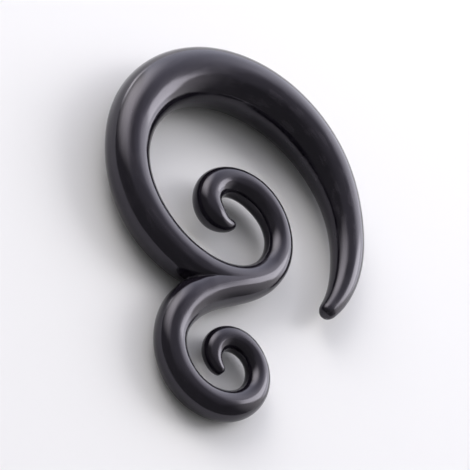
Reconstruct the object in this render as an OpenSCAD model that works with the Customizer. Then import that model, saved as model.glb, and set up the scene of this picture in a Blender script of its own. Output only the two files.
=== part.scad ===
// Ear hanger taper: a thick hook that thins to a taper, on a double scroll.
// It is one piece of round rod, bent in one plane and lying as it would on a table.
// Three arms grow out of one root: the upper scroll one way, and the lower scroll and the hook
// the other way. Hook and upper scroll are one flowing line, and so are the two scrolls.

/* [Size] */
// Size of the whole piece against the measured one
size_factor = 1; // [0.8:0.05:1.5]
// Heading of the upper scroll where it leaves the root, in degrees
root_heading = 44; // [30:1:60]

/* [Fineness] */
// Flats around the rod
sides = 24; // [12:4:24]
// Longest gap between two rings along the rod
ring_gap = 1.5; // [1.4:0.1:2.5]
// Most that the rod turns between two rings, in degrees
ring_turn = 10; // [9:1:20]
// Rings on each rounded tip
tip_rings = 5; // [3:1:6]

/* [Hook] */
// Hook from the root, over the gauge that sits in the lobe, to the tip of the taper.
// Each row: [distance from the root, turn to the left there in degrees per mm, thickness there]
hook_arm = [
    [0, -7.2, 3.9],
    [6, -6.3, 4.4],
    [12, -4.2, 4.8],
    [20, -4.2, 5.3],
    [30, -3.4, 5.5],
    [40, -3.6, 6.9],
    [50, -3.7, 7.9],
    [60, -3.5, 7.8],
    [70, -3.4, 6.7],
    [80, -2.5, 5.0],
    [88, -2.8, 4.0],
    [95.2, -4.3, 2.4]
]; // distance rising, turn -8 to -2, thickness 2 to 9

/* [Upper scroll] */
// Curl inside the hook, in rows like the hook's
upper_arm = [
    [0, 6.8, 3.9],
    [6, 8.1, 3.6],
    [12, 8.8, 4.0],
    [17, 12.4, 3.9],
    [21, 17.2, 3.7],
    [24, 22.0, 3.4],
    [26.3, 26.3, 1.8]
]; // distance rising, turn 6 to 28, thickness 1 to 5

/* [Lower scroll] */
// Bend away from the hook and the curl below it, in rows like the hook's.
// It starts a little thinner than the other arms, so that its flat start is buried in them
lower_arm = [
    [0, -8.3, 3.8],
    [5, -2.1, 4.6],
    [10, 3.0, 4.7],
    [15, 5.9, 4.6],
    [20, 8.0, 3.9],
    [26, 8.8, 3.8],
    [32, 9.7, 3.7],
    [37, 11.1, 3.2],
    [41, 14.4, 2.9],
    [45, 18.6, 3.1],
    [48, 22.5, 2.8],
    [51, 26.0, 1.8]
]; // distance rising, turn -10 to 28, thickness 1 to 5, and under 3.9 at the root

/* [Rest] */
// Distance along the hook of the thickest place, on which the piece rests
gauge_at = 55; // [50:1:60]
// Distance along the lower scroll of the other place on which it rests
foot_at = 30; // [28:1:32]

/* [Hidden] */

// Columns of an arm's rows
AT = 0;
TURN = 1;
THICK = 2;

// Columns of a station, which is one round section of the rod
PLACE = 0;
HEADING = 1;
RADIUS = 2;
DISTANCE = 3;

// Size of the smallest ring of a rounded tip against its first one
tip_flat = 0.12;

function along(heading) = [cos(heading), sin(heading)];

function last_of(list) = list[len(list) - 1];

// Turn in degrees per mm at a distance from the root, straight between two rows
function turn_at(arm, at) = lookup(at, [for (row = arm) [row[AT], row[TURN]]]);

// How fast the rod thickens at a row, from the rows on both sides of it
function growth(arm, i) =
    let (before = arm[max(i - 1, 0)], after = arm[min(i + 1, len(arm) - 1)])
    (after[THICK] - before[THICK]) / (after[AT] - before[AT]);

// Thickness at a share t of the way from row i to the next, on a smooth curve through the rows
function thickness(arm, i, t) =
    let (gap = arm[i + 1][AT] - arm[i][AT], ease = t * t * (3 - 2 * t))
    arm[i][THICK] * (1 - ease) + arm[i + 1][THICK] * ease
    + gap * t * (1 - t) * (growth(arm, i) * (1 - t) - growth(arm, i + 1) * t);

// Number of equal steps from row i to the next: more where the rod turns hard
function steps(arm, i) =
    let (gap = arm[i + 1][AT] - arm[i][AT])
    let (turn = max(abs(arm[i][TURN]), abs(arm[i + 1][TURN])))
    ceil(gap * max(1 / ring_gap, turn / ring_turn));

// [distance, thickness] of every station of an arm, from the root to its last row
function marks(arm) = [
    for (i = [0:len(arm) - 2], k = [0:steps(arm, i) - 1])
        let (t = k / steps(arm, i))
        [arm[i][AT] * (1 - t) + arm[i + 1][AT] * t, thickness(arm, i, t)],
    [last_of(arm)[AT], last_of(arm)[THICK]]
];

// Stations of an arm that leaves the root with a given heading
function walk(arm, start) =
    let (marks = marks(arm))
    [for (i = 0, place = [0, 0], heading = start;
          i < len(marks);
          step = i + 1 < len(marks) ? marks[i + 1][0] - marks[i][0] : 0,
          bend = step * turn_at(arm, marks[i][0] + step / 2),
          place = place + step * along(heading + bend / 2),
          heading = heading + bend,
          i = i + 1)
        [place, heading, marks[i][1] / 2, marks[i][0]]
    ];

// A station moved along its own heading and made smaller, as on a rounded tip
function tip_station(last, rise) =
    let (place = last[PLACE] + last[RADIUS] * sin(rise) * along(last[HEADING]))
    [place, last[HEADING], last[RADIUS] * cos(rise), last[DISTANCE]];

// The stations of an arm with a rounded tip added behind the last one
function with_tip(line) =
    let (most = acos(tip_flat))
    concat(line, [for (i = [1:tip_rings]) tip_station(last_of(line), most * i / tip_rings)]);

// The same stations, walked the other way
function reversed(line) = [
    for (i = [len(line) - 1:-1:0])
        [line[i][PLACE], line[i][HEADING] + 180, line[i][RADIUS], line[i][DISTANCE]]
];

// The first station at or past a distance from the root
function station_at(line, distance) = [for (s = line) if (s[DISTANCE] >= distance) s][0];

hook_line = with_tip(walk(hook_arm, root_heading + 180));
upper_line = with_tip(walk(upper_arm, root_heading));
lower_line = with_tip(walk(lower_arm, root_heading + 180));

// The hook and the upper scroll in one line, with the root's own station in it once
hook_and_upper = concat(reversed(hook_line), [for (s = upper_line) if (s[DISTANCE] > 0) s]);
stations = concat(hook_and_upper, lower_line);

// Lying on a table, the piece tips until the thin scroll touches as well as the thick gauge
gauge = station_at(hook_line, gauge_at);
foot = station_at(lower_line, foot_at);
lie_tilt = asin((gauge[RADIUS] - foot[RADIUS]) / (gauge[PLACE][1] - foot[PLACE][1]));

// Middle of the box around the lying piece, and the table's height under its own plane
ends_x = [for (s = stations, side = [-1, 1]) s[PLACE][0] + side * s[RADIUS]];
ends_y = [for (s = stations, side = [-1, 1]) s[PLACE][1] * cos(lie_tilt) + side * s[RADIUS]];
middle_x = (min(ends_x) + max(ends_x)) / 2;
middle_y = (min(ends_y) + max(ends_y)) / 2;
table_z = min([for (s = stations) s[PLACE][1] * sin(lie_tilt) - s[RADIUS]]);

// The points of one round section, square to the rod
function ring(s) = [
    for (i = [0:sides - 1])
        let (angle = 360 * i / sides, across = s[RADIUS] * cos(angle) * along(s[HEADING] + 90))
        [s[PLACE][0] + across[0], s[PLACE][1] + across[1], s[RADIUS] * sin(angle)]
];

// A closed solid rod through a list of stations
module rod(line) {
    last = (len(line) - 1) * sides;
    walls = [
        for (first = [0:sides:last - sides], i = [0:sides - 1])
            let (a = first + i, b = first + (i + 1) % sides)
            each [[a, a + sides, b], [b, a + sides, b + sides]]
    ];
    start_face = [for (i = [0:sides - 1]) i];
    end_face = [for (i = [sides - 1:-1:0]) last + i];
    polyhedron([for (s = line) each ring(s)], concat([start_face], walls, [end_face]));
}

// Turns the flat piece to the way it lies and centres it over the origin
module lying() {
    translate([-middle_x, -middle_y, -table_z])
    rotate([lie_tilt, 0, 0])
    children();
}

module ear_taper() {
    color("black")
    scale(size_factor)
    lying()
    union() {
        rod(hook_and_upper);
        rod(lower_line);
    }
}

ear_taper();
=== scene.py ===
"""Looks of an ear hanger taper: one bent rod of polished black acrylic, lying on a pale table.

The rod follows the same rows of turns and thicknesses as the part's source. The upper scroll runs
into a fork, out of which the hook and the lower scroll grow. The piece is drawn out ring by ring as
one cage, rounded, laid on the table, and dressed in glossy acrylic under soft boxes.
"""

import logging
import math
from dataclasses import dataclass
from enum import Enum

import bmesh
import bpy
import numpy as np
from mathutils import Matrix, Vector


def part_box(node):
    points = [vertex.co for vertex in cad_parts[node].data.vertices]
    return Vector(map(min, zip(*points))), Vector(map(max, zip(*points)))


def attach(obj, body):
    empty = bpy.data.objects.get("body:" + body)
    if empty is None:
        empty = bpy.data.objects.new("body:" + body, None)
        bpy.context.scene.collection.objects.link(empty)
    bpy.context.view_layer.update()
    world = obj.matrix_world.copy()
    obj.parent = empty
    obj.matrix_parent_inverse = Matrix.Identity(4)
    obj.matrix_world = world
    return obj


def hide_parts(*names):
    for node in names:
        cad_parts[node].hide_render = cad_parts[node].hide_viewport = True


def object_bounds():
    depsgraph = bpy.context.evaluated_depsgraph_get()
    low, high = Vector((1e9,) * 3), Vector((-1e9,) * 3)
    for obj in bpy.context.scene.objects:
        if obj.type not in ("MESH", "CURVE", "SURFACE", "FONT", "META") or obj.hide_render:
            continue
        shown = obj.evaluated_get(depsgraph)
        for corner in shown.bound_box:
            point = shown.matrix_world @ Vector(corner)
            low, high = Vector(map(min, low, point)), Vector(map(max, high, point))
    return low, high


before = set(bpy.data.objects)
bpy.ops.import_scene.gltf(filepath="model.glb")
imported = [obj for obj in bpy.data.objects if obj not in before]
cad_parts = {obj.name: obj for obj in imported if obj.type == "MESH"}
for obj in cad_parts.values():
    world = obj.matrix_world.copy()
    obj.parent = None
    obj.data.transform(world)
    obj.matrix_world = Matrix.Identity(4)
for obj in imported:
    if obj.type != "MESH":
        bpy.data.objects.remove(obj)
CAD_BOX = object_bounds()

LOG = logging.getLogger("ear_hanger")
MM = 0.001
NODE = "ear_taper"
BODY = "root"
ROD_PLACE = "rod_place"
# Heading of the upper scroll where it leaves the root, in degrees
ROOT_HEADING = 44.0
UP = Vector((0.0, 0.0, 1.0))


def ease(share: float) -> float:
    """A smooth step from 0 to 1 for a share from 0 to 1."""
    share = min(max(share, 0.0), 1.0)
    return share * share * (3 - 2 * share)


class Side(Enum):
    """Side of an arm on which its outer side lies, seen along the arm."""

    LEFT = 1
    RIGHT = -1


@dataclass(frozen=True)
class Row:
    """How the rod runs at one distance from the root.

    Args:
        at: Distance along the arm, in millimetres.
        turn: Turn to the left there, in degrees per millimetre.
        thick: Thickness of the rod there, in millimetres.
    """

    at: float
    turn: float
    thick: float


@dataclass(frozen=True)
class Station:
    """One section of the rod, flat in the piece's own plane and in millimetres.

    Args:
        place: Middle of the section.
        heading: Direction in which the rod runs there, in radians.
        radius: Half the rod's thickness there.
        distance: Distance from the root along the rod, negative on the upper scroll.
    """

    place: Vector
    heading: float
    radius: float
    distance: float

    def along(self) -> Vector:
        """Direction of the rod there."""
        return Vector((math.cos(self.heading), math.sin(self.heading), 0.0))

    def left(self) -> Vector:
        """Direction across the rod, to its left."""
        return Vector((-math.sin(self.heading), math.cos(self.heading), 0.0))

    def turned_round(self) -> "Station":
        """The same section, met from the other side, with its distance before the root."""
        return Station(self.place, self.heading + math.pi, self.radius, -self.distance)


HOOK = (
    Row(0, -7.2, 3.9),
    Row(6, -6.3, 4.4),
    Row(12, -4.2, 4.8),
    Row(20, -4.2, 5.3),
    Row(30, -3.4, 5.5),
    Row(40, -3.6, 6.9),
    Row(50, -3.7, 7.9),
    Row(60, -3.5, 7.8),
    Row(70, -3.4, 6.7),
    Row(80, -2.5, 5.0),
    Row(88, -2.8, 4.0),
    Row(95.2, -4.3, 2.4),
)

UPPER_SCROLL = (
    Row(0, 6.8, 3.9),
    Row(6, 8.1, 3.6),
    Row(12, 8.8, 4.0),
    Row(17, 12.4, 3.9),
    Row(21, 17.2, 3.7),
    Row(24, 22.0, 3.4),
    Row(26.3, 26.3, 1.8),
)

LOWER_SCROLL = (
    Row(0, -8.3, 3.9),
    Row(5, -2.1, 4.6),
    Row(10, 3.0, 4.7),
    Row(15, 5.9, 4.6),
    Row(20, 8.0, 3.9),
    Row(26, 8.8, 3.8),
    Row(32, 9.7, 3.7),
    Row(37, 11.1, 3.2),
    Row(41, 14.4, 2.9),
    Row(45, 18.6, 3.1),
    Row(48, 22.5, 2.8),
    Row(51, 26.0, 1.8),
)


@dataclass(frozen=True)
class Arm:
    """One arm of the piece, which leaves the root with a heading and follows its rows.

    Args:
        rows: The arm's rows, from the root to its tip.
        start: Heading at the root, in degrees.
        longest_step: Longest gap between two stations, in millimetres.
        most_turn: Most that the rod turns between two stations, in degrees.
        tip_rings: Rings on the rounded tip past the last row.
        tip_shoulder: Length over which the rounding starts before the last row, in radii there.
        tip_fullness: How full the rounding is, 2 for an ellipse and more for a fuller one.
        tip_flat: Size of the smallest ring of the tip against the rod.
    """

    rows: tuple[Row, ...]
    start: float
    longest_step: float = 1.2
    most_turn: float = 9.0
    tip_rings: int = 6
    tip_shoulder: float = 0.5
    tip_fullness: float = 3.0
    tip_flat: float = 0.12

    def _gap_at(self, at: float) -> int:
        """Number of the row behind which a distance lies."""
        return max(i for i, row in enumerate(self.rows[:-1]) if row.at <= at or i == 0)

    def _turn(self, at: float) -> float:
        """Gives the turn at a distance, straight between two rows.

        Args:
            at: Distance along the arm, in millimetres.

        Returns:
            The turn, in degrees per millimetre.
        """
        here, there = self.rows[self._gap_at(at)], self.rows[self._gap_at(at) + 1]
        share = (at - here.at) / (there.at - here.at)
        return here.turn * (1 - share) + there.turn * share

    def _growth(self, i: int) -> float:
        """Gives how fast the rod thickens at a row, from the rows on both sides of it.

        Args:
            i: Number of the row.

        Returns:
            The growth, in millimetres per millimetre.
        """
        before = self.rows[max(i - 1, 0)]
        after = self.rows[min(i + 1, len(self.rows) - 1)]
        return (after.thick - before.thick) / (after.at - before.at)

    def _thick(self, at: float) -> float:
        """Gives the thickness at a distance, on a smooth curve through the rows.

        Args:
            at: Distance along the arm, in millimetres.

        Returns:
            The thickness, in millimetres.
        """
        i = self._gap_at(at)
        here, there = self.rows[i], self.rows[i + 1]
        gap = there.at - here.at
        share = (at - here.at) / gap
        bow = self._growth(i) * (1 - share) - self._growth(i + 1) * share
        straight = here.thick + (there.thick - here.thick) * ease(share)
        return straight + gap * share * (1 - share) * bow

    def marks(self, after: float) -> list[float]:
        """Gives the distances of the stations past a given one, closer where the rod turns hard.

        Args:
            after: Distance past which the marks start, in millimetres.

        Returns:
            The distances, the last of which is the arm's end.
        """
        marks = []
        for here, there in zip(self.rows, self.rows[1:]):
            turn = max(abs(here.turn), abs(there.turn))
            gap = there.at - here.at
            steps = math.ceil(gap * max(1 / self.longest_step, turn / self.most_turn))
            marks += [here.at + gap * (k + 1) / steps for k in range(steps)]
        return [mark for mark in marks if mark > after + self.longest_step / 2]

    def walk(self, marks: list[float]) -> list[Station]:
        """Walks the arm.

        Args:
            marks: Distances at which there are stations.

        Returns:
            The stations at the root, at the marks and on the rounded tip.
        """
        place, heading, at = Vector((0.0, 0.0, 0.0)), math.radians(self.start), 0.0
        stations = [Station(place, heading, self.rows[0].thick / 2, at)]
        for mark in marks:
            step = mark - at
            bend = math.radians(self._turn(at + step / 2)) * step
            half = heading + bend / 2
            place = place + step * Vector((math.cos(half), math.sin(half), 0.0))
            heading, at = heading + bend, mark
            stations.append(Station(place, heading, self._radius(at), at))
        return stations + self._tip(stations[-1])

    def _radius(self, at: float) -> float:
        """Gives the rod's radius at a distance, also where the tip rounds it off.

        Args:
            at: Distance along the arm, in millimetres.

        Returns:
            The radius, in millimetres.
        """
        end = self.rows[-1]
        past = max(at - end.at, 0.0)
        slope = self._growth(len(self.rows) - 1) / 2
        radius = self._thick(min(at, end.at)) / 2 + slope * (past - past * past / end.thick)
        start, length = self._rounding()
        share = max((at - start) / length, 0.0)
        return radius * (1 - share ** self.tip_fullness) ** (1 / self.tip_fullness)

    def _rounding(self) -> tuple[float, float]:
        """Gives the distance at which the tip's rounding starts, and the rounding's length."""
        end = self.rows[-1]
        before = self.tip_shoulder * end.thick / 2
        return end.at - before, end.thick / 2 + before

    def _tip(self, last: Station) -> list[Station]:
        """Rounds the tip.

        Args:
            last: The last station before the tip.

        Returns:
            The tip's stations.
        """
        start, length = self._rounding()
        power = self.tip_fullness / 2
        low = math.asin(((last.distance - start) / length) ** power)
        high = math.acos(self.tip_flat ** power)
        tip = []
        for i in range(1, self.tip_rings + 1):
            rise = low + (high - low) * i / self.tip_rings
            at = start + length * math.sin(rise) ** (1 / power)
            place = last.place + last.along() * (at - last.distance)
            tip.append(Station(place, last.heading, self._radius(at), at))
        return tip


def deselect_all() -> None:
    """Leaves edit mode and selects nothing."""
    if bpy.context.object is not None and bpy.context.object.mode != "OBJECT":
        bpy.ops.object.mode_set(mode="OBJECT")
    bpy.ops.object.select_all(action="DESELECT")


class Cage:
    """A mesh in edit mode that is drawn out ring by ring; its places are in millimetres.

    Args:
        name: Name of the piece.
        first: Station of the first ring, at a tip.
        sides: Sides of that ring.
    """

    # Turn under which the rod counts as straight, in radians
    STRAIGHT = 1e-9
    # Gap under which two points are one, in metres
    TOUCHING = 1e-6

    def __init__(self, name: str, first: Station, sides: int) -> None:
        deselect_all()
        bpy.ops.mesh.primitive_circle_add(
            vertices=sides,
            radius=first.radius * MM,
            fill_type="NGON",
            location=first.place * MM,
            rotation=(math.pi / 2, 0.0, first.heading + math.pi / 2),
        )
        self.piece = bpy.context.object
        self.piece.name = name
        bpy.ops.object.transform_apply(location=True, rotation=True, scale=True)
        bpy.ops.object.mode_set(mode="EDIT")
        bpy.ops.mesh.select_mode(type="VERT")
        bpy.ops.mesh.select_all(action="SELECT")

    def draw_round(self, here: Station, there: Station) -> None:
        """Extrudes the selected round ring from one station to the next.

        Args:
            here: Station at which the ring is.
            there: Station to which it is drawn.
        """
        bpy.ops.mesh.extrude_region_move(
            TRANSFORM_OT_translate={"value": (there.place - here.place) * MM}
        )
        centre = there.place * MM
        turn = there.heading - here.heading
        if abs(turn) > self.STRAIGHT:
            bpy.ops.transform.rotate(
                value=-turn, orient_axis="Z", orient_type="GLOBAL", center_override=centre
            )
        scale = there.radius / here.radius
        bpy.ops.transform.resize(value=(scale, scale, scale), center_override=centre)

    def draw_to(self, here: list[Vector], there: list[Vector]) -> None:
        """Extrudes the selected points and sets each on its new place.

        Args:
            here: Places of the selected points.
            there: New places, in the same order.
        """
        bpy.ops.mesh.extrude_region_move()
        mesh = bmesh.from_edit_mesh(self.piece.data)
        moves = []
        for point in (v for v in mesh.verts if v.select):
            nearest = min(range(len(here)), key=lambda i: (here[i] * MM - point.co).length)
            moves.append((point, there[nearest] * MM))
        for point, place in moves:
            point.co = place
        bmesh.update_edit_mesh(self.piece.data)

    def close_ring(self) -> None:
        """Joins the ends of the selected line of points and closes the ring with a face."""
        bpy.ops.mesh.remove_doubles(threshold=self.TOUCHING)
        bpy.ops.mesh.edge_face_add()

    def pick(self, places: list[Vector]) -> None:
        """Selects only the points at some places.

        Args:
            places: The places.
        """
        bpy.ops.mesh.select_all(action="DESELECT")
        mesh = bmesh.from_edit_mesh(self.piece.data)
        for place in places:
            min(mesh.verts, key=lambda v: (v.co - place * MM).length).select = True
        mesh.select_flush(True)
        bmesh.update_edit_mesh(self.piece.data)

    def crease(self, line: list[Vector], sharpness: tuple[float, ...]) -> None:
        """Sharpens the edges of a line.

        Args:
            line: Places of the line's points.
            sharpness: How sharp each edge becomes, from 0 to 1.
        """
        for start, end, amount in zip(line, line[1:], sharpness):
            self.pick([start, end])
            bpy.ops.transform.edge_crease(value=amount)

    def fill_out(self, rounds: int, kept: list[Vector]) -> None:
        """Moves the points out until the rounded cage runs through the places where they were drawn.

        Args:
            rounds: Times that all points are moved.
            kept: Places of points that stay, so that the rounding fills the valley there.
        """
        mesh = bmesh.from_edit_mesh(self.piece.data)
        stay = {min(mesh.verts, key=lambda v: (v.co - place * MM).length) for place in kept}
        aims = {
            point: point.co.copy()
            for point in mesh.verts
            if point not in stay and all(len(face.verts) == 4 for face in point.link_faces)
        }
        for _ in range(rounds):
            misses = [aim - self._rounded_place(point) for point, aim in aims.items()]
            for point, miss in zip(aims, misses):
                point.co += miss
        bmesh.update_edit_mesh(self.piece.data)

    @staticmethod
    def _rounded_place(point: bmesh.types.BMVert) -> Vector:
        """Gives the place to which rounding draws a point that lies among four-sided faces.

        Args:
            point: The point.

        Returns:
            Its place on the rounded surface.
        """
        count = len(point.link_edges)
        beside = sum((edge.other_vert(point).co for edge in point.link_edges), Vector())
        opposite = (loop.link_loop_next.link_loop_next.vert.co for loop in point.link_loops)
        return (point.co * count * count + beside * 4 + sum(opposite, Vector())) / (count * (count + 5))

    def finish(self, levels: int) -> bpy.types.Object:
        """Turns all faces outwards, leaves edit mode and rounds the cage.

        Args:
            levels: Times that the cage is subdivided.

        Returns:
            The rounded piece.
        """
        bpy.ops.mesh.select_all(action="SELECT")
        bpy.ops.mesh.normals_make_consistent(inside=False)
        bpy.ops.object.mode_set(mode="OBJECT")
        rounding = self.piece.modifiers.new("rounding", "SUBSURF")
        rounding.levels = levels
        rounding.render_levels = levels
        bpy.ops.object.modifier_apply(modifier=rounding.name)
        return self.piece


@dataclass
class EarTaper:
    """The whole piece: an upper scroll that forks into the hook and the lower scroll.

    Args:
        hook: The hook, from the root over the gauge to the tip of the taper.
        upper_scroll: The scroll inside the hook.
        lower_scroll: The scroll below the hook.
        fork_length: Distance from the root to the last ring that both arms share.
        fork_rings: Rings that both arms share past the root.
        arm_sides: Sides of an arm's rings, and half the sides of a shared ring.
        spread_end: Distance from the root past which the rows lie evenly all round an arm.
        valley_pull: How fast the valley's pull on the rows fades away from it.
        notch_sharpness: Sharpness of the valley's last edges, from the notch inwards.
        gauge_at: Distance along the hook of the thickest place, on which the piece rests.
        foot_at: Distance along the lower scroll of the other place on which it rests.
        fill_rounds: Times that the cage is filled out.
        levels: Times that the cage is subdivided.
    """

    hook: Arm = Arm(HOOK, ROOT_HEADING + 180)
    upper_scroll: Arm = Arm(UPPER_SCROLL, ROOT_HEADING)
    lower_scroll: Arm = Arm(LOWER_SCROLL, ROOT_HEADING + 180)
    fork_length: float = 11.5
    fork_rings: int = 10
    arm_sides: int = 16
    spread_end: float = 19.0
    valley_pull: int = 5
    notch_sharpness: tuple[float, ...] = (0.4, 0.3, 0.2)
    gauge_at: float = 55.0
    foot_at: float = 30.0
    fill_rounds: int = 3
    levels: int = 2

    def build(self, finish: "PolishedAcrylic") -> bpy.types.Object:
        """Models the piece where the part's frame has it, and dresses it.

        Args:
            finish: The finish of the rod.

        Returns:
            The piece's object.
        """
        upper, hook, lower = self._walk_arms()
        before_root = [station.turned_round() for station in reversed(upper[1:])]
        piece = self._model(before_root, hook, lower)
        self._store_rod_places(piece, before_root + hook + lower[1:])
        self._lay_down(piece, hook, lower)
        self._dress(piece, finish)
        LOG.info("%s: %d faces on body %s", piece.name, len(piece.data.polygons), BODY)
        return piece

    def _walk_arms(self) -> tuple[list[Station], list[Station], list[Station]]:
        """Walks the arms, the hook and the lower scroll with the same marks in the fork.

        Returns:
            The stations of the upper scroll, the hook and the lower scroll, from the root.
        """
        fork = [self.fork_length * (k + 1) / self.fork_rings for k in range(self.fork_rings)]
        return (
            self.upper_scroll.walk(self.upper_scroll.marks(0.0)),
            self.hook.walk(fork + self.hook.marks(self.fork_length)),
            self.lower_scroll.walk(fork + self.lower_scroll.marks(self.fork_length)),
        )

    def _model(
        self, before_root: list[Station], hook: list[Station], lower: list[Station]
    ) -> bpy.types.Object:
        """Draws the cage of the whole rod out of the upper scroll's tip, and rounds it.

        Args:
            before_root: The upper scroll's stations, from its tip to just before the root.
            hook: The hook's stations, from the root.
            lower: The lower scroll's stations, from the root.

        Returns:
            The rounded rod, flat in its own plane.
        """
        cage = Cage(NODE + "_looks", before_root[0], 2 * self.arm_sides)
        for here, there in zip(before_root, before_root[1:] + hook[:1]):
            cage.draw_round(here, there)
        past_fork = self.fork_rings + 1
        rings = [self._fork_ring(*pair) for pair in zip(hook[:past_fork], lower[:past_fork])]
        for here, there in zip(rings, rings[1:]):
            cage.draw_to(here, there)
        bpy.ops.mesh.delete(type="ONLY_FACE")
        last = rings[-1] + rings[-1][:1]
        self._draw_arm(cage, last[: self.arm_sides + 1], hook[past_fork:], Side.RIGHT)
        self._draw_arm(cage, last[self.arm_sides :], lower[past_fork:], Side.LEFT)
        self._close_notch(cage, rings, hook[past_fork], lower[past_fork])
        cage.fill_out(self.fill_rounds, [ring[i] for ring in rings[1:] for i in (0, self.arm_sides)])
        piece = cage.finish(self.levels)
        bpy.ops.object.shade_smooth()
        return piece

    def _fork_ring(self, hook: Station, lower: Station) -> list[Vector]:
        """Gives a ring around both arms.

        Args:
            hook: The hook's station.
            lower: The lower scroll's station.

        Returns:
            The ring's points, from the top of the valley round the hook first.
        """
        mean = (hook.radius + lower.radius) / 2
        spread = lower.heading - hook.heading
        inner = (lower.place - hook.place).length / 2 / math.cos(spread / 2)
        share = min(inner / mean, 1.0)
        valley = math.pi / 2 + math.asin(share)
        round_hook, round_lower = (
            self._half_ring(arm, side, valley, mean + (arm.radius - mean) * ease(share))
            for arm, side in ((hook, Side.RIGHT), (lower, Side.LEFT))
        )
        top = (round_hook[0] + round_lower[-1]) / 2
        bottom = (round_hook[-1] + round_lower[0]) / 2
        return [top] + round_hook[1:-1] + [bottom] + round_lower[1:-1]

    def _half_ring(self, station: Station, side: Side, valley: float, height: float) -> list[Vector]:
        """Gives an arm's part of a ring, which is all of it where the valley lies opposite.

        Args:
            station: The arm's station.
            side: Its outer side.
            valley: Angle of the valley from the outer side, in radians.
            height: Half the section's height, in millimetres.

        Returns:
            The points from the valley round the outer side to the valley again.
        """
        out = station.left() * side.value
        points = []
        for row in self._row_angles(valley, station.distance):
            across = out * (station.radius * math.cos(row))
            points.append(station.place + across - UP * (side.value * height * math.sin(row)))
        return points

    def _row_angles(self, valley: float, distance: float) -> list[float]:
        """Gives the angles of the rows round an arm, which spread as the arms part.

        Args:
            valley: Angle of the valley from the arm's outer side, in radians.
            distance: Distance from the root, in millimetres.

        Returns:
            The angles from the valley round the outer side to the valley again, in radians.
        """
        even = math.pi / 2 * (1 + ease(distance / self.spread_end))
        shares = (1 - 2 * i / self.arm_sides for i in range(self.arm_sides + 1))
        return [even * share + (valley - even) * share ** self.valley_pull for share in shares]

    def _draw_arm(self, cage: Cage, half: list[Vector], line: list[Station], side: Side) -> None:
        """Closes half of the last shared ring to a ring of its own and draws the arm out of it.

        Args:
            cage: The cage.
            half: Points of the half ring, from the valley round the arm to the valley.
            line: The arm's stations past the fork.
            side: The arm's outer side.
        """
        spread = [station for station in line if station.distance <= self.spread_end]
        rings = [self._half_ring(station, side, math.pi, station.radius) for station in spread]
        cage.pick(half)
        cage.draw_to(half, rings[0])
        cage.close_ring()
        for here, there in zip(rings, rings[1:]):
            cage.draw_to(here, there)
        for here, there in zip(line[len(spread) - 1 :], line[len(spread) :]):
            cage.draw_round(here, there)

    def _close_notch(
        self, cage: Cage, rings: list[list[Vector]], hook: Station, lower: Station
    ) -> None:
        """Fills the gap between the arms and sharpens the valley towards it.

        Args:
            cage: The cage.
            rings: Points of the shared rings.
            hook: The hook's first station past them.
            lower: The lower scroll's first station past them.
        """
        top, bottom = rings[-1][0], rings[-1][self.arm_sides]
        inner = [hook.place + hook.left() * hook.radius, lower.place - lower.left() * lower.radius]
        cage.pick([top, inner[0], bottom, inner[1]])
        bpy.ops.mesh.edge_face_add()
        for corner in (0, self.arm_sides):
            cage.crease([ring[corner] for ring in reversed(rings)], self.notch_sharpness)

    @staticmethod
    def _store_rod_places(piece: bpy.types.Object, stations: list[Station]) -> None:
        """Stores for each point how far along the rod, across it and above it the point lies.

        Args:
            piece: The piece, flat in its own plane.
            stations: All stations of the rod.
        """
        places = np.array([station.place[:2] for station in stations])
        along = np.array([station.along()[:2] for station in stations])
        left = np.array([station.left()[:2] for station in stations])
        distance = np.array([station.distance for station in stations])
        points = np.empty(len(piece.data.vertices) * 3, dtype=np.float32)
        piece.data.vertices.foreach_get("co", points)
        points = points.reshape(-1, 3) / MM
        offsets = points[:, None, :2] - places[None]
        near = np.argmin((offsets ** 2).sum(axis=2), axis=1)
        offset = offsets[np.arange(len(points)), near]
        straight = (
            distance[near] + (offset * along[near]).sum(axis=1),
            (offset * left[near]).sum(axis=1),
            points[:, 2],
        )
        stored = piece.data.attributes.new(ROD_PLACE, "FLOAT_VECTOR", "POINT")
        stored.data.foreach_set("vector", (np.stack(straight, axis=1) * MM).astype(np.float32).ravel())

    def _lay_down(
        self, piece: bpy.types.Object, hook: list[Station], lower: list[Station]
    ) -> None:
        """Tips the flat piece until gauge and scroll both rest, and sets it in the CAD box.

        Args:
            piece: The piece.
            hook: The hook's stations.
            lower: The lower scroll's stations.
        """
        gauge = next(s for s in hook if s.distance >= self.gauge_at)
        foot = next(s for s in lower if s.distance >= self.foot_at)
        piece.rotation_euler.x = math.asin(
            (gauge.radius - foot.radius) / (gauge.place.y - foot.place.y)
        )
        bpy.ops.object.transform_apply(location=True, rotation=True, scale=True)
        corners = [point.co for point in piece.data.vertices]
        low = Vector(min(corner[i] for corner in corners) for i in range(3))
        high = Vector(max(corner[i] for corner in corners) for i in range(3))
        cad_low, cad_high = (Vector(corner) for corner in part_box(NODE))
        shift = (cad_low + cad_high - low - high) / 2
        shift.z = cad_low.z - low.z
        piece.location = shift
        bpy.ops.object.transform_apply(location=True, rotation=True, scale=True)

    @staticmethod
    def _dress(piece: bpy.types.Object, finish: "PolishedAcrylic") -> None:
        """Gives the piece its finish and its part in the frame.

        Args:
            piece: The piece.
            finish: Its finish.
        """
        piece.data.materials.clear()
        piece.data.materials.append(finish.make())
        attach(piece, BODY)
        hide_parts(NODE)


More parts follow.
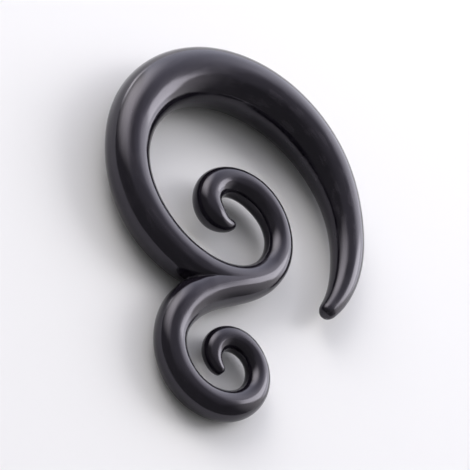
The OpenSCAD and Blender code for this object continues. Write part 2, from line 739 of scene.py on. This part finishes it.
class Value:
    """A number on a node board, on which Python's arithmetic adds Math nodes.

    Args:
        board: The board that holds it.
        socket: The socket that gives it.
    """

    def __init__(self, board: "Board", socket: bpy.types.NodeSocket) -> None:
        self.board = board
        self.socket = socket

    def _math(self, operation: str, *values: "Value | float") -> "Value":
        """Adds a Math node on some values."""
        inputs = dict(enumerate(values))
        return self.board.value("ShaderNodeMath", {"operation": operation}, inputs)

    def __add__(self, other: "Value | float") -> "Value":
        """This value and another."""
        return self._math("ADD", self, other)

    __radd__ = __add__

    def __sub__(self, other: "Value | float") -> "Value":
        """This value less another."""
        return self._math("SUBTRACT", self, other)

    def __rsub__(self, other: float) -> "Value":
        """Another value less this one."""
        return self._math("SUBTRACT", other, self)

    def __mul__(self, other: "Value | float") -> "Value":
        """This value times another."""
        return self._math("MULTIPLY", self, other)

    __rmul__ = __mul__

    def __abs__(self) -> "Value":
        """This value without its sign."""
        return self._math("ABSOLUTE", self)

    def eased(self, start: float, end: float) -> "Value":
        """A smooth step from 0 at the start to 1 at the end."""
        settings = {"interpolation_type": "SMOOTHSTEP"}
        inputs = {"Value": self, "From Min": start, "From Max": end}
        return self.board.value("ShaderNodeMapRange", settings, inputs)


class Board:
    """The nodes of a material, a light or the world, emptied first.

    Args:
        tree: The node tree.
    """

    def __init__(self, tree: bpy.types.NodeTree) -> None:
        self.tree = tree
        tree.nodes.clear()

    def node(
        self, kind: str, settings: dict | None = None, inputs: dict | None = None
    ) -> bpy.types.Node:
        """Adds a node.

        Args:
            kind: The node's type.
            settings: Its settings, which are set first.
            inputs: Values or links of its sockets, by name or number.

        Returns:
            The node.
        """
        node = self.tree.nodes.new(kind)
        for name, setting in (settings or {}).items():
            setattr(node, name, setting)
        for name, given in (inputs or {}).items():
            if isinstance(given, Value):
                given = given.socket
            if isinstance(given, bpy.types.NodeSocket):
                self.tree.links.new(given, node.inputs[name])
            else:
                node.inputs[name].default_value = given
        return node

    def value(self, kind: str, settings: dict | None = None, inputs: dict | None = None) -> Value:
        """Adds a node and gives its first output as a number."""
        return Value(self, self.node(kind, settings, inputs).outputs[0])


class Gloss(Enum):
    """How far a surface is polished, as its roughness."""

    POLISHED = 0.10
    MATT = 0.90


@dataclass(frozen=True)
class Grain:
    """A noise whose specks are stretched along the rod.

    Args:
        length: Size of a speck along the rod, in millimetres.
        width: Size of a speck across the rod, in millimetres.
        detail: How many times smaller specks are laid over them.
    """

    length: float
    width: float
    detail: float

    def lay(self, board: Board, place: bpy.types.NodeSocket) -> Value:
        """Lays the noise along the rod.

        Args:
            board: The material's board.
            place: How far along the rod, across it and above it a point lies.

        Returns:
            The noise, around a half.
        """
        per_metre = (1 / (self.length * MM), 1 / (self.width * MM), 1 / (self.width * MM))
        stretched = board.node("ShaderNodeMapping", None, {"Vector": place, "Scale": per_metre})
        inputs = {"Vector": stretched.outputs[0], "Scale": 1.0, "Detail": self.detail}
        return board.value("ShaderNodeTexNoise", None, inputs)


@dataclass(frozen=True)
class PolishedAcrylic:
    """Black acrylic with a violet cast, bent and then polished by hand along the rod.

    Args:
        body: Colour of the acrylic under its gloss.
        haze: Colour where the polish is hazy.
        sheen: Tint of the gloss.
        gloss: How far it is polished.
        index: Its index of refraction.
        shine: Strength of its gloss, 0.5 of which is what the index alone gives.
        clouds: Grain of the faint clouds in it.
        smudges: Grain of the patches where the polish is hazy.
        streaks: Grain of the polishing streaks in those patches.
        hairlines: Grain of the finest scratches.
        waves: Grain of the waves that bending and polishing leave.
        heights: Heights of waves, streaks and hairlines, in millimetres.
        rubbed: Distances along the rod between which the lobe rubs the gauge, in millimetres:
            where that starts, where it is full, where it wanes and where it ends.
        worn: Distances along the rod at which the taper's tip starts to be worn and is worn most.
        patch_edge: Values of the noise between which clouds and smudges set in.
        line_edge: Values of the noise between which the polishing lines set in.
        cloud_haze: Haze of the clouds.
        line_haze: Haze of the polishing lines in a smudge.
        rubbed_haze: Haze that rubbing adds to those lines.
        smudge_dulling: Roughness that smudges add.
        line_dulling: Roughness that the polishing lines add.
        hairline_dulling: Roughness that the finest scratches add and take away.
        worn_dulling: Roughness that wear adds at the taper's tip.
    """

    body: tuple[float, float, float] = (0.0048, 0.0036, 0.0070)
    haze: tuple[float, float, float] = (0.0200, 0.0175, 0.0230)
    sheen: tuple[float, float, float] = (0.925, 0.885, 1.0)
    gloss: Gloss = Gloss.POLISHED
    index: float = 1.49
    shine: float = 0.56
    clouds: Grain = Grain(8.3, 2.5, 3.0)
    smudges: Grain = Grain(3.8, 2.4, 4.0)
    streaks: Grain = Grain(5.9, 0.77, 2.0)
    hairlines: Grain = Grain(4.2, 0.154, 2.0)
    waves: Grain = Grain(9.1, 1.25, 0.0)
    heights: tuple[float, float, float] = (0.040, 0.015, 0.001)
    rubbed: tuple[float, float, float, float] = (52.0, 62.0, 80.0, 88.0)
    worn: tuple[float, float] = (89.0, 95.5)
    patch_edge: tuple[float, float] = (0.40, 0.60)
    line_edge: tuple[float, float] = (0.45, 0.62)
    cloud_haze: float = 0.2
    line_haze: float = 0.55
    rubbed_haze: float = 0.75
    smudge_dulling: float = 0.04
    line_dulling: float = 0.06
    hairline_dulling: float = 0.05
    worn_dulling: float = 0.12

    def make(self) -> bpy.types.Material:
        """Makes the material.

        Returns:
            The material.
        """
        material = bpy.data.materials.new("polished_acrylic")
        material.use_nodes = True
        board = Board(material.node_tree)
        place = board.node("ShaderNodeAttribute", {"attribute_name": ROD_PLACE}).outputs["Vector"]
        smudges = self.smudges.lay(board, place).eased(*self.patch_edge)
        streaks = self.streaks.lay(board, place)
        lines = streaks.eased(*self.line_edge)
        hairlines = self.hairlines.lay(board, place)
        waves = self.waves.lay(board, place)
        rubbed, worn = self._wear(board, place)
        clouds = self.clouds.lay(board, place).eased(*self.patch_edge)
        hazy_lines = lines * smudges * (self.line_haze + self.rubbed_haze * rubbed)
        haze = self.cloud_haze * clouds + hazy_lines
        colours = {"Factor": haze, 6: (*self.body, 1), 7: (*self.haze, 1)}
        colour = board.node("ShaderNodeMix", {"data_type": "RGBA"}, colours).outputs[2]
        dulled = self.smudge_dulling * smudges + self.line_dulling * lines
        dulled += self.hairline_dulling * (hairlines - 0.5) + self.worn_dulling * worn
        wave, streak, hairline = (height * MM for height in self.heights)
        relief = waves * wave + streaks * streak + hairlines * hairline
        bump = board.node("ShaderNodeBump", None, {"Strength": 1.0, "Distance": 1.0, "Height": relief})
        shader = board.node(
            "ShaderNodeBsdfPrincipled",
            None,
            {
                "Base Color": colour,
                "Roughness": self.gloss.value + dulled,
                "IOR": self.index,
                "Specular IOR Level": self.shine,
                "Specular Tint": (*self.sheen, 1),
                "Normal": bump.outputs[0],
            },
        )
        board.node("ShaderNodeOutputMaterial", None, {"Surface": shader.outputs[0]})
        return material

    def _wear(self, board: Board, place: bpy.types.NodeSocket) -> tuple[Value, Value]:
        """Finds how much the gauge is rubbed and the taper's tip is worn.

        Args:
            board: The material's board.
            place: How far along the rod, across it and above it a point lies.

        Returns:
            Both amounts, from 0 to 1.
        """
        along = board.value("ShaderNodeSeparateXYZ", None, {0: place})
        start, full, wane, end = (distance * MM for distance in self.rubbed)
        worn_from, worn_to = (distance * MM for distance in self.worn)
        rubbed = along.eased(start, full) * (1 - along.eased(wane, end))
        return rubbed, along.eased(worn_from, worn_to)


@dataclass(frozen=True)
class MattPaint:
    """Pale paint without gloss.

    Args:
        colour: Its colour.
        gloss: How far it is polished.
    """

    colour: tuple[float, float, float] = (0.88, 0.88, 0.88)
    gloss: Gloss = Gloss.MATT

    def make(self) -> bpy.types.Material:
        """Makes the material.

        Returns:
            The material.
        """
        material = bpy.data.materials.new("matt_paint")
        material.use_nodes = True
        board = Board(material.node_tree)
        inputs = {
            "Base Color": (*self.colour, 1),
            "Roughness": self.gloss.value,
            "Specular IOR Level": 0.0,
        }
        shader = board.node("ShaderNodeBsdfPrincipled", None, inputs)
        board.node("ShaderNodeOutputMaterial", None, {"Surface": shader.outputs[0]})
        return material


@dataclass(frozen=True)
class SoftBox:
    """A soft light, placed by its direction from the piece.

    Args:
        name: Name of the light.
        azimuth: Direction seen from above, clockwise from +Y, in degrees.
        elevation: Height of its middle above the table, in degrees.
        width: Angle that it spans from side to side, in degrees.
        height: Angle that it spans from bottom to top, in degrees.
        radiance: Brightness of its middle against a white of 1.
        cast: Its colour.
        fade: Shares of its half width and half height over which it fades out at its edges.
        distance: Distance from the piece, in metres.
    """

    name: str
    azimuth: float
    elevation: float
    width: float
    height: float
    radiance: float
    cast: tuple[float, float, float]
    fade: tuple[float, float]
    distance: float = 0.6

    def build(self) -> bpy.types.Object:
        """Makes the light, facing the piece.

        Returns:
            The light's object.
        """
        azimuth, elevation = math.radians(self.azimuth), math.radians(self.elevation)
        level = Vector((math.sin(azimuth), math.cos(azimuth), 0.0))
        way = level * math.cos(elevation) + UP * math.sin(elevation)
        light = bpy.data.lights.new(self.name, "AREA")
        light.shape = "RECTANGLE"
        light.size = 2 * self.distance * math.tan(math.radians(self.width) / 2)
        light.size_y = 2 * self.distance * math.tan(math.radians(self.height) / 2)
        light.energy = self.radiance * math.pi * light.size * light.size_y
        light.color = self.cast
        light.use_nodes = True
        board = Board(light.node_tree)
        where = board.node("ShaderNodeNewGeometry").outputs["Parametric"]
        split = board.node("ShaderNodeSeparateXYZ", None, {0: where}).outputs
        across, up = Value(board, split[0]), Value(board, split[1])
        glow = self._fading(across, self.fade[0]) * self._fading(up, self.fade[1])
        emission = board.node("ShaderNodeEmission", None, {"Strength": glow})
        board.node("ShaderNodeOutputLight", None, {0: emission.outputs[0]})
        box = bpy.data.objects.new(self.name, light)
        box.location = way * self.distance
        box.rotation_mode = "QUATERNION"
        box.rotation_quaternion = (-way).to_track_quat("-Z", "Y")
        box.visible_camera = False
        bpy.context.scene.collection.objects.link(box)
        return box

    @staticmethod
    def _fading(place: Value, fade: float) -> Value:
        """Gives the light's share of its brightness at a place between two of its edges.

        Args:
            place: The place, from 0 at one edge to 1 at the other.
            fade: Share of the half width over which the light fades out at each edge.

        Returns:
            The share, 0 at both edges and 1 in the middle.
        """
        return (1 - abs(place * 2 - 1)).eased(0.0, fade)


@dataclass(frozen=True)
class Viewpoint:
    """The camera, by its direction from the piece.

    Args:
        azimuth: Turn of the camera round the piece from -Y, anticlockwise seen from above.
        elevation: Height above the table, in degrees.
        roll: Turn of the picture, in degrees.
        distance: Distance from the piece, in metres.
        lens: Focal length, in millimetres.
        sensor: Width of the sensor, in millimetres.
        sight: Nearest and farthest distance that it shows, in metres.
        aim: Point at the middle of the picture, in metres.
    """

    azimuth: float = -48.35
    elevation: float = 43.29
    roll: float = 47.22
    distance: float = 0.19
    lens: float = 118.0
    sensor: float = 36.0
    sight: tuple[float, float] = (0.01, 20.0)
    aim: tuple[float, float, float] = (-0.0019, -0.0011, 0.0029)

    def build(self) -> bpy.types.Object:
        """Makes the camera and gives it to the scene.

        Returns:
            The camera's object.
        """
        azimuth, elevation = math.radians(self.azimuth), math.radians(self.elevation)
        roll = math.radians(self.roll)
        away = Vector((math.sin(azimuth), -math.cos(azimuth), 0.0))
        back = away * math.cos(elevation) + UP * math.sin(elevation)
        level = Vector((math.cos(azimuth), math.sin(azimuth), 0.0))
        right = level * math.cos(roll) + back.cross(level) * math.sin(roll)
        turn = Matrix((right, back.cross(right), back)).transposed()
        data = bpy.data.cameras.new("camera")
        data.sensor_width = self.sensor
        data.lens = self.lens
        data.clip_start, data.clip_end = self.sight
        camera = bpy.data.objects.new("camera", data)
        place = Vector(self.aim) + back * self.distance
        camera.matrix_world = Matrix.Translation(place) @ turn.to_4x4()
        bpy.context.scene.collection.objects.link(camera)
        bpy.context.scene.camera = camera
        return camera


@dataclass(frozen=True)
class Studio:
    """The table on which the piece lies, the soft boxes around it and the room.

    Args:
        table_side: Length of the table's sides, in metres.
        room: Brightness of the room against a white of 1.
        boxes: The soft boxes.
    """

    table_side: float = 6.0
    room: float = 0.22
    boxes: tuple[SoftBox, ...] = (
        SoftBox("right_box", 82, 35, 25, 35, 4.0, (1.0, 0.99, 1.0), (0.3, 0.4)),
        SoftBox("right_glow", 79, 19, 98, 83, 1.8, (1.0, 0.97, 0.98), (1.0, 0.7)),
        SoftBox("left_box", -24, 31, 65, 62, 4.85, (1.0, 0.97, 0.965), (1.0, 0.9)),
        SoftBox("low_strip", -17, 2, 38, 12, 4.8, (1.0, 0.98, 1.0), (0.9, 0.75)),
        SoftBox("far_wall", 42, 8, 102, 117, 1.7, (0.84, 0.85, 1.0), (0.25, 1.0), 0.9),
        SoftBox("overhead", 26, 73, 88, 88, 0.42, (0.91, 0.89, 1.0), (0.3, 1.0), 0.8),
    )

    def build(self, finish: MattPaint) -> None:
        """Builds the table, the soft boxes and the room.

        Args:
            finish: The table's finish.
        """
        self._build_table(finish)
        for box in self.boxes:
            light = box.build()
            LOG.info("%s: soft light", light.name)
        self._build_room()

    def _build_table(self, finish: MattPaint) -> None:
        """Builds the table under the piece, and dresses it.

        Args:
            finish: The table's finish.
        """
        deselect_all()
        bpy.ops.mesh.primitive_plane_add(size=self.table_side, location=(0, 0, CAD_BOX[0].z))
        table = bpy.context.object
        table.name = "table"
        table.data.materials.append(finish.make())
        LOG.info("%s: floor", table.name)

    def _build_room(self) -> None:
        """Fills the room with its own plain light, and shows all tones as they are."""
        world = bpy.data.worlds.new("room")
        world.use_nodes = True
        board = Board(world.node_tree)
        light = board.node("ShaderNodeBackground", None, {"Color": (self.room,) * 3 + (1,)})
        board.node("ShaderNodeOutputWorld", None, {"Surface": light.outputs[0]})
        bpy.context.scene.world = world
        bpy.context.scene.view_settings.view_transform = "Standard"


def main() -> None:
    """Builds the piece, the studio and the camera."""
    logging.basicConfig(level=logging.INFO, format="%(name)s: %(message)s")
    EarTaper().build(PolishedAcrylic())
    Studio().build(MattPaint())
    Viewpoint().build()


if __name__ == "__main__":
    main()
